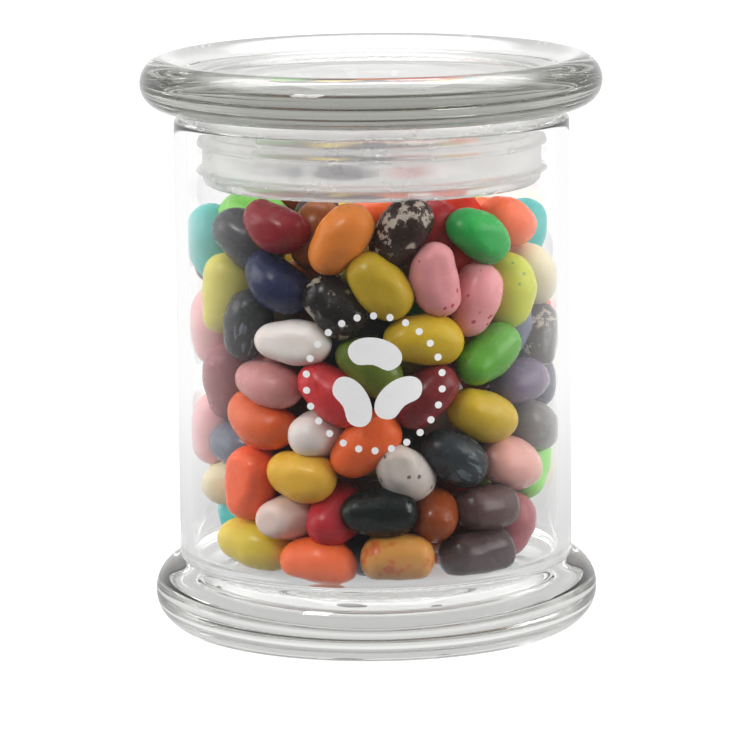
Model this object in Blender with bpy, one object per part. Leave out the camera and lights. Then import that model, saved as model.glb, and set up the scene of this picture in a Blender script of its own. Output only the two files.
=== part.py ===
"""A footed glass jar of jelly beans with its flat glass lid and ribbed seal.

Metres, +Z up. The origin is on the table, on the jar's axis. Every solid is turned about that
axis, so each one is an outline of radii and heights, given here in millimetres.
"""

import math
import random

import bmesh
import bpy
from mathutils import Vector

MM = 0.001
GAP = 0.3  # clearance between pieces that touch
TURNS = 48  # facets round the glass

# glass jar
WALL_RADIUS = 39.4
WALL_THICKNESS = 2.5
RIM_HEIGHT = 102.0
FOOT_RADIUS = 44.4
FOOT_BEAD = 6.9  # radius of the foot's round edge
STAND_RADIUS = 39.8  # the foot rests on a flat ring out to here
PUSH_UP_RADIUS = 35.5
PUSH_UP_HEIGHT = 1.8
GROOVE_HEIGHT = 14.3  # where the rolled foot meets the straight wall
FLOOR_HEIGHT = 13.0  # top of the thick glass bottom
FLOOR_CORNER = 4.0  # how round the hollow's lower corner is

# glass lid
LID_RADIUS = 46.0
LID_TOP = 114.3
LID_BEAD = 5.0
DISH_DEPTH = 3.0
DISH_RADIUS = 33.0
PLUG_OUTER = 31.7  # the short glass ring under the lid
PLUG_INNER = 28.0
PLUG_BOTTOM = 91.2
PLUG_CEILING = 105.2
FILLET = 0.9

# ribbed seal, a soft sleeve round the plug
SLEEVE_INNER = PLUG_OUTER + GAP
SLEEVE_OUTER = 33.7
FLANGE_RADIUS = 38.7
LIP_INNER = 28.6
LIP_THICKNESS = 1.8
SLEEVE_CORNER = 1.6
RIB_HEIGHTS = (99.9, 97.6, 92.3)
RIB_ROOT = 0.7  # half the height of a rib where it leaves the sleeve
RIB_TIP = 0.25
SEAL_TURNS = 36

# heap of beans
BEAN_LENGTH = 15.6
BEAN_WIDTH = 10.2
BEANS_ROUND = 13  # beans round the wall in one course
COLUMNS_PER_BEAN = 4  # the first column of each bean's patch of mesh is the valley beside it
ROWS_PER_COURSE = 3  # the first row of each course is the valley below it
COURSE = 10.6  # distance from one course of beans to the next
MOST_TILT = 32.0  # degrees that a bean leans from lying level
HEAP_CORNER = 6.0  # how round the heap's shoulder is
DEEPEST_VALLEY = 3.4
SEED = 12

# worked out
WALL_INNER = WALL_RADIUS - WALL_THICKNESS
LID_BEAD_CENTRE = (LID_RADIUS - LID_BEAD, LID_TOP - LID_BEAD)
LID_UNDERSIDE = LID_TOP - 2 * LID_BEAD
SEAL_TOP = LID_UNDERSIDE - GAP
FLANGE_BOTTOM = RIM_HEIGHT + GAP
SEAL_BOTTOM = PLUG_BOTTOM - GAP - LIP_THICKNESS
HEAP_TOP = SEAL_BOTTOM - GAP
HEAP_CLEARANCE = GAP + 0.1  # facets of the wall lie a little inside its true radius


def clear_scene():
    for item in list(bpy.data.objects):
        bpy.data.objects.remove(item)


def arc(centre, radius, start, end, steps):
    """Points of an arc, as (radius from the axis, height), with angles in degrees from outwards."""
    angles = [math.radians(start + (end - start) * i / steps) for i in range(steps + 1)]
    return [(centre[0] + radius * math.cos(a), centre[1] + radius * math.sin(a)) for a in angles]


def material(name, colour, roughness, transmission=0.0):
    made = bpy.data.materials.new(name)
    made.use_nodes = True
    shader = made.node_tree.nodes["Principled BSDF"]
    shader.inputs["Base Color"].default_value = (*colour, 1.0)
    shader.inputs["Roughness"].default_value = roughness
    shader.inputs["Metallic"].default_value = 0.0
    shader.inputs["Transmission Weight"].default_value = transmission
    return made


def finish_object(name, mesh, finish, sharp_degrees):
    mesh.materials.append(finish)
    mesh.shade_smooth()
    mesh.set_sharp_from_angle(angle=math.radians(sharp_degrees))
    made = bpy.data.objects.new(name, mesh)
    bpy.context.scene.collection.objects.link(made)
    return made


def turned(name, outline, finish, turns, closed=False, sharp_degrees=35.0):
    """Spins an outline of (radius, height) in millimetres about the Z axis into one closed solid."""
    bm = bmesh.new()
    points = [bm.verts.new((r * MM, 0.0, z * MM)) for r, z in outline]
    edges = [bm.edges.new(pair) for pair in zip(points, points[1:])]
    if closed:
        edges.append(bm.edges.new((points[-1], points[0])))
    bmesh.ops.spin(
        bm,
        geom=points + edges,
        cent=(0.0, 0.0, 0.0),
        axis=(0.0, 0.0, 1.0),
        angle=2 * math.pi,
        steps=turns,
        use_duplicate=False,
    )
    bmesh.ops.remove_doubles(bm, verts=bm.verts, dist=0.01 * MM)
    bmesh.ops.recalc_face_normals(bm, faces=bm.faces)
    mesh = bpy.data.meshes.new(name)
    bm.to_mesh(mesh)
    bm.free()
    return finish_object(name, mesh, finish, sharp_degrees)


def jar_outline():
    """From the middle of the underside, out round the foot, over the rim and down to the floor."""
    push_up = [
        (r, PUSH_UP_HEIGHT * (1 - (r / PUSH_UP_RADIUS) ** 2))
        for r in (0.0, 0.6 * PUSH_UP_RADIUS, PUSH_UP_RADIUS)
    ]
    foot_centre = (FOOT_RADIUS - FOOT_BEAD, FOOT_BEAD + 0.1)
    rim_centre = (WALL_RADIUS - WALL_THICKNESS / 2, RIM_HEIGHT - WALL_THICKNESS / 2)
    corner_centre = (WALL_INNER - FLOOR_CORNER, FLOOR_HEIGHT + FLOOR_CORNER)
    return [
        *push_up,
        (STAND_RADIUS, 0.0),
        *arc(foot_centre, FOOT_BEAD, -54, 72, 7),
        (WALL_RADIUS, GROOVE_HEIGHT),
        *arc(rim_centre, WALL_THICKNESS / 2, 0, 180, 4),
        *arc(corner_centre, FLOOR_CORNER, 0, -90, 5),
        (0.0, FLOOR_HEIGHT),
    ]


def lid_outline():
    """From the middle of the dish, out over the bead, in under the lid and round its plug."""
    dish = LID_TOP - DISH_DEPTH
    plug_edge = (PLUG_OUTER - PLUG_INNER) / 2
    edge_centre = ((PLUG_OUTER + PLUG_INNER) / 2, PLUG_BOTTOM + plug_edge)
    return [
        (0.0, dish),
        (DISH_RADIUS, dish),
        (DISH_RADIUS + 3.6, dish + 0.9),
        *arc(LID_BEAD_CENTRE, LID_BEAD, 126, -90, 12),
        (PLUG_OUTER + FILLET, LID_UNDERSIDE),
        (PLUG_OUTER, LID_UNDERSIDE - FILLET),
        *arc(edge_centre, plug_edge, 0, -180, 4),
        (PLUG_INNER, PLUG_CEILING - FILLET),
        (PLUG_INNER - FILLET, PLUG_CEILING),
        (0.0, PLUG_CEILING),
    ]


def seal_outline():
    """Closed loop: down the outside with its ribs, in under the plug and up the inside."""
    ribs = []
    for height in RIB_HEIGHTS:
        ribs += [
            (SLEEVE_OUTER, height + RIB_ROOT),
            (WALL_INNER - HEAP_CLEARANCE, height + RIB_TIP),
            (WALL_INNER - HEAP_CLEARANCE, height - RIB_TIP),
            (SLEEVE_OUTER, height - RIB_ROOT),
        ]
    corner_centre = (SLEEVE_OUTER - SLEEVE_CORNER, SEAL_BOTTOM + SLEEVE_CORNER)
    return [
        (FLANGE_RADIUS, SEAL_TOP),
        (FLANGE_RADIUS, FLANGE_BOTTOM),
        (SLEEVE_OUTER, FLANGE_BOTTOM),
        *ribs,
        *arc(corner_centre, SLEEVE_CORNER, 0, -90, 2),
        (LIP_INNER, SEAL_BOTTOM),
        (LIP_INNER, SEAL_BOTTOM + LIP_THICKNESS),
        (SLEEVE_INNER, SEAL_BOTTOM + LIP_THICKNESS),
        (SLEEVE_INNER, SEAL_TOP - FILLET),
        (SLEEVE_INNER + FILLET, SEAL_TOP),
    ]


def heap_envelope():
    """The smooth outline that the outermost beans touch, from the floor's edge to the top's middle."""
    wall = WALL_INNER - HEAP_CLEARANCE
    corner = FLOOR_CORNER - HEAP_CLEARANCE
    corner_centre = (wall - corner, FLOOR_HEIGHT + HEAP_CLEARANCE + corner)
    shoulder_centre = (wall - HEAP_CORNER, HEAP_TOP - HEAP_CORNER)
    return [
        *arc(corner_centre, corner, -90, 0, 24),
        *arc(shoulder_centre, HEAP_CORNER, 0, 90, 12),
        (0.0, HEAP_TOP),
    ]


def walked(outline, distance):
    """Point of an outline at a distance along it, and the outward normal there."""
    for (r0, z0), (r1, z1) in zip(outline, outline[1:]):
        length = math.hypot(r1 - r0, z1 - z0)
        if distance <= length or (r1, z1) == outline[-1]:
            along = min(distance / length, 1.0)
            point = (r0 + (r1 - r0) * along, z0 + (z1 - z0) * along)
            return point, ((z1 - z0) / length, -(r1 - r0) / length)
        distance -= length


def on_envelope(outline, distance, turn):
    """Place and outward normal on the envelope, at a distance along its outline and an angle round it."""
    (radius, height), (out, up) = walked(outline, distance)
    place = Vector((radius * math.cos(turn), radius * math.sin(turn), height))
    return place, Vector((out * math.cos(turn), out * math.sin(turn), up))


def outer_beans(outline, course_height, courses):
    """Staggered courses of beans on the envelope: (place, lengthwise direction, crosswise one) of each."""
    chance = random.Random(SEED)
    beans = []
    for course in range(courses):
        middle = (course + 0.5) * course_height
        (radius, _), _ = walked(outline, middle)
        count = max(1, round(BEANS_ROUND * radius / (WALL_INNER - HEAP_CLEARANCE)))
        for i in range(count):
            turn = 2 * math.pi * (i + 0.5 * (course % 2 + 1)) / count
            place, normal = on_envelope(outline, middle, turn)
            level = Vector((-math.sin(turn), math.cos(turn), 0.0))
            tilt = math.radians(chance.uniform(-MOST_TILT, MOST_TILT))
            lengthwise = level * math.cos(tilt) + normal.cross(level) * math.sin(tilt)
            beans.append((place, lengthwise, normal.cross(lengthwise)))
    return beans


def valley_depth(point, beans):
    """How far the heap's skin lies under its envelope here: nothing on a bean, most between beans."""
    depth = DEEPEST_VALLEY
    for place, lengthwise, crosswise in beans:
        offset = point - place
        along = offset.dot(lengthwise) / (BEAN_LENGTH / 2)
        across = offset.dot(crosswise) / (BEAN_WIDTH / 2)
        spread = along**2 + across**2
        if spread < 1.0 and offset.length < BEAN_LENGTH / 2:
            depth = min(depth, (1.0 - math.sqrt(1.0 - spread)) * BEAN_WIDTH / 2)
    return depth


def bean_heap(name, finish):
    """The heap as one solid: rings of points on the envelope, sunk into the valleys between beans."""
    outline = heap_envelope()
    length = sum(math.dist(a, b) for a, b in zip(outline, outline[1:]))
    courses = round(length / COURSE)
    rows = courses * ROWS_PER_COURSE
    columns = BEANS_ROUND * COLUMNS_PER_BEAN
    column_turn = 2 * math.pi / columns
    beans = outer_beans(outline, length / courses, courses)
    bm = bmesh.new()
    rings = []
    for row in range(rows):
        ring = []
        for column in range(columns):
            point, normal = on_envelope(outline, row * length / rows, column * column_turn)
            depth = valley_depth(point, beans) if row else 0.0
            ring.append(bm.verts.new((point - normal * depth) * MM))
        rings.append(ring)
    for lower, upper in zip(rings, rings[1:]):
        for i in range(columns):
            j = (i + 1) % columns
            bm.faces.new((lower[i], lower[j], upper[j], upper[i]))
    bm.faces.new(rings[0])
    top = bm.verts.new((0.0, 0.0, HEAP_TOP * MM))
    for i in range(columns):
        bm.faces.new((rings[-1][i], rings[-1][(i + 1) % columns], top))
    bmesh.ops.recalc_face_normals(bm, faces=bm.faces)
    mesh = bpy.data.meshes.new(name)
    bm.to_mesh(mesh)
    bm.free()
    return finish_object(name, mesh, finish, 60.0)


def main():
    clear_scene()
    glass = material("clear glass", (0.96, 0.98, 0.97), 0.02, transmission=1.0)
    seal_plastic = material("milky soft plastic", (0.92, 0.92, 0.93), 0.35, transmission=0.4)
    sugar_shell = material("glossy sugar shell", (0.78, 0.36, 0.22), 0.25)
    turned("jar", jar_outline(), glass, TURNS)
    turned("lid", lid_outline(), glass, TURNS)
    turned("lid_seal", seal_outline(), seal_plastic, SEAL_TURNS, closed=True)
    bean_heap("jelly_bean_heap", sugar_shell)


main()
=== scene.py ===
"""Finish of the jelly bean jar: blown glass, ribbed seal, sugar-shelled beans, printed motif and studio.

Places and sizes of the jar and what is in it are in millimetres, and MM turns them into the frame's
metres. The studio's floor and lamps are in metres.
"""

import math

import bmesh
import bpy
import numpy as np
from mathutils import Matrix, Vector


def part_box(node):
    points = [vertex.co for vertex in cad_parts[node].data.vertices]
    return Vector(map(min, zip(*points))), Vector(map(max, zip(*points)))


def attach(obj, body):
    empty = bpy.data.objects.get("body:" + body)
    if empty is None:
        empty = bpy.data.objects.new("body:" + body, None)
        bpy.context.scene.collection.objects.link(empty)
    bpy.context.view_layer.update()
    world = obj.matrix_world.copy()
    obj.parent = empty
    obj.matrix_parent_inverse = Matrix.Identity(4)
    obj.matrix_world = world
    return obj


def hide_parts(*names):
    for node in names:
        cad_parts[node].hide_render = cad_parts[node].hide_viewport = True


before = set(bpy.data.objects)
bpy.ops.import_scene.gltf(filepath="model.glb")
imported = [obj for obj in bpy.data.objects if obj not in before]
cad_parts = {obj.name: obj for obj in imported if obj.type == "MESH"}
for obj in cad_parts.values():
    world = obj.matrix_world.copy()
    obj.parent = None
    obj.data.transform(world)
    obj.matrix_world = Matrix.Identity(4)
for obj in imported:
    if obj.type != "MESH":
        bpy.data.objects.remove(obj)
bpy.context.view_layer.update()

MM = 0.001


def reach(node):
    """A turned piece's outermost radius, lowest height and highest height."""
    low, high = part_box(node)
    return high.x / MM, low.z / MM, high.z / MM


FOOT_RADIUS, _, RIM_HEIGHT = reach("jar")
LID_RADIUS, PLUG_BOTTOM, LID_TOP = reach("lid")
FLANGE_RADIUS, SEAL_BOTTOM, SEAL_TOP = reach("lid_seal")
_, _, HEAP_TOP = reach("jelly_bean_heap")

# jar
WALL_RADIUS = 39.4
WALL_THICKNESS = 2.5
WALL_INNER = WALL_RADIUS - WALL_THICKNESS
FOOT_BEAD = 6.9
STAND_RADIUS = 39.8
PUSH_UP_RADIUS = 35.5
PUSH_UP_HEIGHT = 1.8
GROOVE_HEIGHT = 14.0
GROOVE_DEPTH = 0.35
RIM_ROUND = 0.6  # how round the rim's two edges are
FLOOR_HEIGHT = 13.0
FLOOR_CORNER = 4.0

# lid
LID_BEAD = 5.0
LID_UNDERSIDE = LID_TOP - 2 * LID_BEAD
DISH = LID_TOP - 3.0
DISH_RADIUS = 33.0
PLUG_OUTER = 31.7
PLUG_INNER = 28.0
PLUG_CEILING = 105.2
FILLET = 0.9

# seal
GAP = 0.3
SEAL_EDGE = 0.3  # how round the seal's small edges are
SLEEVE_CORNER = 1.6
SLEEVE_INNER = PLUG_OUTER + GAP
SLEEVE_OUTER = 33.7
LIP_INNER = 28.6
LIP_THICKNESS = 1.8
RIB_HEIGHTS = (99.9, 97.6, 92.3)
RIB_RADIUS = SLEEVE_OUTER + 1.2
RIB_ROOT = 0.5
RIB_TIP = 0.15

# glass: what its depth lets through
GLASS_DEPTH_COLOUR = (0.40, 0.408, 0.36, 1.0)
JAR_DENSITY = 5.0
LID_DENSITY = 18.0

# studio: how bright the floor is near the jar and far off, and between which distances it changes; the dimmer
# floor near the jar is a painted shadow
FLOOR_GLOW = 0.75
FLOOR_AS_LIGHT = 0.18
FLOOR_NEAR = 0.64
FLOOR_FAR = 1.08
FLOOR_NEAR_MIRRORED = 0.75
FLOOR_FAR_MIRRORED = 1.0
FLOOR_BRIGHTENS = (0.08, 0.32)
FLOOR_DARKENS = (0.10, 0.15)

# studio: the tent, its brightness by height (-1 below, 0 level, 1 above) and its dark front
SEEN_THROUGH = ((-1, 1.15), (0.10, 1.15), (0.25, 0.9), (0.55, 0.9), (0.75, 1.1), (1, 1.1))
MIRRORED = ((-1, 1.0), (0.10, 1.0), (0.25, 0.8), (0.55, 0.8), (0.75, 1.0), (1, 1.0))
FRONT_FADES = (-0.6, 0.35)  # from dark front to full brightness, by how far back a direction points
FRONT_DARKNESS = 0.88
FRONT_DARKNESS_ABOVE = 0.45
FRONT_LOWERS = (0.1, 0.5)  # between these heights the front's darkness gives way to the one above
OFTEN_MIRRORED = 0.9  # how much less the dark front counts in light mirrored more than once
CEILING = (0.55, 0.8)  # the glare overhead comes in between these heights
OVERHEAD_GLARE = 5.0  # how bright the ceiling is in the glass's outer face
SKY_LIGHT = 1.3
FRONT_LIGHT = 0.2
FRONT_LIGHT_FADES = (-0.8, 0.4)
GLASS_BOUNCES = 40  # light runs round the thick beads many times before it leaves them

# each lamp: name, place, what it aims at, size, watts, and whether glass and shells mirror it
LAMPS = (
    ("key_softbox", (-0.55, -0.75, 0.85), (0, 0, 0.06), 0.28, 3.0, True),
    ("top_softbox", (0.0, 0.1, 1.4), (0, 0, 0.0), 0.9, 8.0, True),
    ("right_softbox", (1.0, -0.35, 0.4), (0, 0, 0.05), 0.7, 9.0, False),
    ("left_softbox", (-1.0, -0.15, 0.4), (0, 0, 0.05), 0.7, 6.0, False),
)

# camera
CAMERA_PLACE = (0, -1002.5, 224.3)
CAMERA_AIM = (0.16, 0, 49.8)
CAMERA_LENS = 243.6
CAMERA_ROLL = -0.63

# finish of turned pieces
TURNS = 64
SMOOTHING = 2

# beans
BEAN_HALF = 2.75  # from a bean's middle to the centre of its round end
BEAN_RADIUS = 4.85
BEAN_SIZE_SPREAD = 0.06
BEANS = 205
SETTLING_STEPS = 1400
START_SIZE = 0.6  # the beans settle while they grow from this share of their size
GROWTH = 0.6
EASE = 0.8  # how much of each push a settling step takes up
GIVE = 0.15  # how far a listed bean gives way, against 1 for the others
GLASS_CLEARANCE = 0.05
HOLD = 0.2  # how firmly a listed bean is kept in its place
FREE_RADIUS = 22.0  # a bean that isn't listed stays this far in on the front side
HEAP_CEILING = HEAP_TOP - 0.1
SHOULDERS = (-20.0, 15.0)  # left and right of these the heap is lower
SIDES_NARROW = 0.35  # how far each millimetre below this height brings the heap's two sides in
SIDES_NARROW_BELOW = 40.0
CORE_RADIUS = 13.0
CORE_HEIGHTS = (30.0, 74.0)
CORE_LUMP = 9.0
CORE_LUMP_DEPTH = 4.0
SEED = 7

# printed motif
PRINT_HEIGHT = 55.0
PRINT_RADIUS = 13.2
PRINT_STANDS_PROUD = 0.03
PRINT_THICKNESS = 0.04
BORDER_DOTS = 26
DOT_RADIUS = 0.7
SIGN_LENGTH = 10.6
SIGN_WIDTH = 6.6
SIGN_NOTCH = 1.3
SIGNS = ((-4.3, -3.6, 62), (4.6, -2.9, -38), (0.2, 5.6, 12))  # each drawn bean: across, up, lean


# ---------------------------------------------------------------- modelling by hand


def deselect():
    bpy.ops.object.select_all(action="DESELECT")


def begin_editing(piece):
    deselect()
    piece.select_set(True)
    bpy.context.view_layer.objects.active = piece
    bpy.ops.object.mode_set(mode="EDIT")
    bpy.ops.mesh.select_mode(type="VERT")


def choose(piece, wanted):
    """Selects the vertices of the edited mesh whose place, in millimetres, is wanted."""
    mesh = bmesh.from_edit_mesh(piece.data)
    for vertex in mesh.verts:
        vertex.select = wanted(vertex.co / MM)
    mesh.select_flush(True)
    mesh.select_flush(False)
    bmesh.update_edit_mesh(piece.data)


def stop_editing():
    bpy.ops.object.mode_set(mode="OBJECT")


def finish_with(piece, kind, **settings):
    """Adds a modifier and applies it."""
    deselect()
    piece.select_set(True)
    bpy.context.view_layer.objects.active = piece
    modifier = piece.modifiers.new(kind.title(), kind)
    for name, value in settings.items():
        setattr(modifier, name, value)
    bpy.ops.object.modifier_apply(modifier=modifier.name)


def smooth(piece, levels):
    finish_with(piece, "SUBSURF", levels=levels, render_levels=levels)
    piece.data.shade_smooth()


def paint(piece, material):
    piece.data.materials.clear()
    piece.data.materials.append(material)


def held(step):
    """How much wider a cage ring with this angle between its points is than the smooth ring in it."""
    return 3.0 / (2.0 + math.cos(step))


def arc(centre, radius, start, end, steps):
    """Cage points of an arc of an outline, as (radius from the axis, height)."""
    step = math.radians(end - start) / steps
    size = radius * held(step)
    angles = [math.radians(start) + step * i for i in range(steps + 1)]
    return [(centre[0] + size * math.cos(a), centre[1] + size * math.sin(a)) for a in angles]


def turned(name, outline, closed=False):
    """Draws an outline by extruding one point along it, then spins it about the axis."""
    widen = held(2 * math.pi / TURNS)
    points = [Vector((r * widen, 0.0, z)) * MM for r, z in outline]
    deselect()
    bpy.ops.mesh.primitive_plane_add(size=MM, location=points[0])
    piece = bpy.context.object
    piece.name = name
    bpy.ops.object.transform_apply(location=True)
    begin_editing(piece)
    bpy.ops.mesh.select_all(action="SELECT")
    bpy.ops.mesh.merge(type="CENTER")
    for here, there in zip(points, points[1:]):
        bpy.ops.mesh.extrude_region_move(TRANSFORM_OT_translate={"value": there - here})
    bpy.ops.mesh.select_all(action="SELECT")
    if closed:
        bpy.ops.mesh.remove_doubles(threshold=0.001 * MM)
    bpy.ops.mesh.spin(steps=TURNS, angle=2 * math.pi, center=(0, 0, 0), axis=(0, 0, 1))
    bpy.ops.mesh.select_all(action="SELECT")
    bpy.ops.mesh.remove_doubles(threshold=0.001 * MM)
    bpy.ops.mesh.normals_make_consistent(inside=False)
    stop_editing()
    smooth(piece, SMOOTHING)
    return piece


# ---------------------------------------------------------------- glass and seal


def make_jar():
    foot_centre = (FOOT_RADIUS - FOOT_BEAD, FOOT_BEAD + 0.1)
    corner_centre = (WALL_INNER - FLOOR_CORNER, FLOOR_HEIGHT + FLOOR_CORNER)
    push_up = [
        (r, PUSH_UP_HEIGHT * (1 - (r / PUSH_UP_RADIUS) ** 2))
        for r in (0.0, 0.2 * PUSH_UP_RADIUS, 0.5 * PUSH_UP_RADIUS, 0.8 * PUSH_UP_RADIUS, PUSH_UP_RADIUS)
    ]
    outline = [
        *push_up,
        (STAND_RADIUS - 1.4, 0.0),
        (STAND_RADIUS, 0.0),
        *arc(foot_centre, FOOT_BEAD, -54, 68, 8),
        (WALL_RADIUS - GROOVE_DEPTH, GROOVE_HEIGHT),
        (WALL_RADIUS - GROOVE_DEPTH, GROOVE_HEIGHT + 0.5),
        (WALL_RADIUS, GROOVE_HEIGHT + 1.0),
        (WALL_RADIUS, GROOVE_HEIGHT + 2.0),
        (WALL_RADIUS, GROOVE_HEIGHT + 6.0),
        (WALL_RADIUS, 35.0),
        (WALL_RADIUS, 58.0),
        (WALL_RADIUS, 80.0),
        (WALL_RADIUS, RIM_HEIGHT - 4.0),
        (WALL_RADIUS, RIM_HEIGHT - RIM_ROUND),
        (WALL_RADIUS - 0.3 * RIM_ROUND, RIM_HEIGHT - 0.3 * RIM_ROUND),
        (WALL_RADIUS - RIM_ROUND, RIM_HEIGHT),
        (WALL_INNER + RIM_ROUND, RIM_HEIGHT),
        (WALL_INNER + 0.3 * RIM_ROUND, RIM_HEIGHT - 0.3 * RIM_ROUND),
        (WALL_INNER, RIM_HEIGHT - RIM_ROUND),
        (WALL_INNER, RIM_HEIGHT - 4.0),
        (WALL_INNER, 80.0),
        (WALL_INNER, 58.0),
        (WALL_INNER, 40.0),
        *arc(corner_centre, FLOOR_CORNER, 0, -90, 6),
        (0.6 * corner_centre[0], FLOOR_HEIGHT),
        (0.0, FLOOR_HEIGHT),
    ]
    return turned("glass_jar", outline)


def make_lid():
    bead_centre = (LID_RADIUS - LID_BEAD, LID_TOP - LID_BEAD)
    plug_edge = (PLUG_OUTER - PLUG_INNER) / 2
    edge_centre = ((PLUG_OUTER + PLUG_INNER) / 2, PLUG_BOTTOM + plug_edge)
    outline = [
        (0.0, DISH),
        (0.5 * DISH_RADIUS, DISH),
        (DISH_RADIUS - 1.5, DISH),
        (DISH_RADIUS + 1.4, DISH + 0.25),
        (DISH_RADIUS + 3.6, DISH + 1.1),
        *arc(bead_centre, LID_BEAD, 122, -90, 12),
        (PLUG_OUTER + 3.0, LID_UNDERSIDE),
        (PLUG_OUTER + FILLET, LID_UNDERSIDE),
        (PLUG_OUTER, LID_UNDERSIDE - FILLET),
        (PLUG_OUTER, PLUG_BOTTOM + 6.0),
        *arc(edge_centre, plug_edge, 0, -180, 5),
        (PLUG_INNER, PLUG_BOTTOM + 6.0),
        (PLUG_INNER, PLUG_CEILING - 2 * FILLET),
        (PLUG_INNER - FILLET, PLUG_CEILING - 0.2),
        (PLUG_INNER - 3 * FILLET, PLUG_CEILING),
        (0.5 * PLUG_INNER, PLUG_CEILING),
        (0.0, PLUG_CEILING),
    ]
    return turned("glass_lid", outline)


def make_seal():
    ribs = []
    for height in RIB_HEIGHTS:
        ribs += [
            (SLEEVE_OUTER, height + 1.3 * RIB_ROOT),
            (SLEEVE_OUTER + SEAL_EDGE, height + RIB_ROOT),
            (RIB_RADIUS, height + RIB_TIP),
            (RIB_RADIUS, height - RIB_TIP),
            (SLEEVE_OUTER + SEAL_EDGE, height - RIB_ROOT),
            (SLEEVE_OUTER, height - 1.3 * RIB_ROOT),
        ]
    flange_bottom = RIM_HEIGHT + GAP
    outline = [
        (FLANGE_RADIUS - SEAL_EDGE, SEAL_TOP),
        (FLANGE_RADIUS, SEAL_TOP - SEAL_EDGE),
        (FLANGE_RADIUS, flange_bottom + SEAL_EDGE),
        (FLANGE_RADIUS - SEAL_EDGE, flange_bottom),
        (SLEEVE_OUTER + SEAL_EDGE, flange_bottom),
        (SLEEVE_OUTER, flange_bottom - SEAL_EDGE),
        *ribs,
        (SLEEVE_OUTER, SEAL_BOTTOM + SLEEVE_CORNER),
        (SLEEVE_OUTER - 0.5, SEAL_BOTTOM + 0.5),
        (SLEEVE_OUTER - SLEEVE_CORNER, SEAL_BOTTOM),
        (LIP_INNER + SEAL_EDGE, SEAL_BOTTOM),
        (LIP_INNER, SEAL_BOTTOM + 0.5),
        (LIP_INNER, SEAL_BOTTOM + LIP_THICKNESS - 0.4),
        (LIP_INNER + SEAL_EDGE, SEAL_BOTTOM + LIP_THICKNESS),
        (SLEEVE_INNER - SEAL_EDGE, SEAL_BOTTOM + LIP_THICKNESS),
        (SLEEVE_INNER, SEAL_BOTTOM + LIP_THICKNESS + SEAL_EDGE),
        (SLEEVE_INNER, SEAL_TOP - 2 * FILLET),
        (SLEEVE_INNER + FILLET, SEAL_TOP),
    ]
    return turned("ribbed_seal", [*outline, outline[0]], closed=True)


# ---------------------------------------------------------------- beans in the jar

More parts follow.
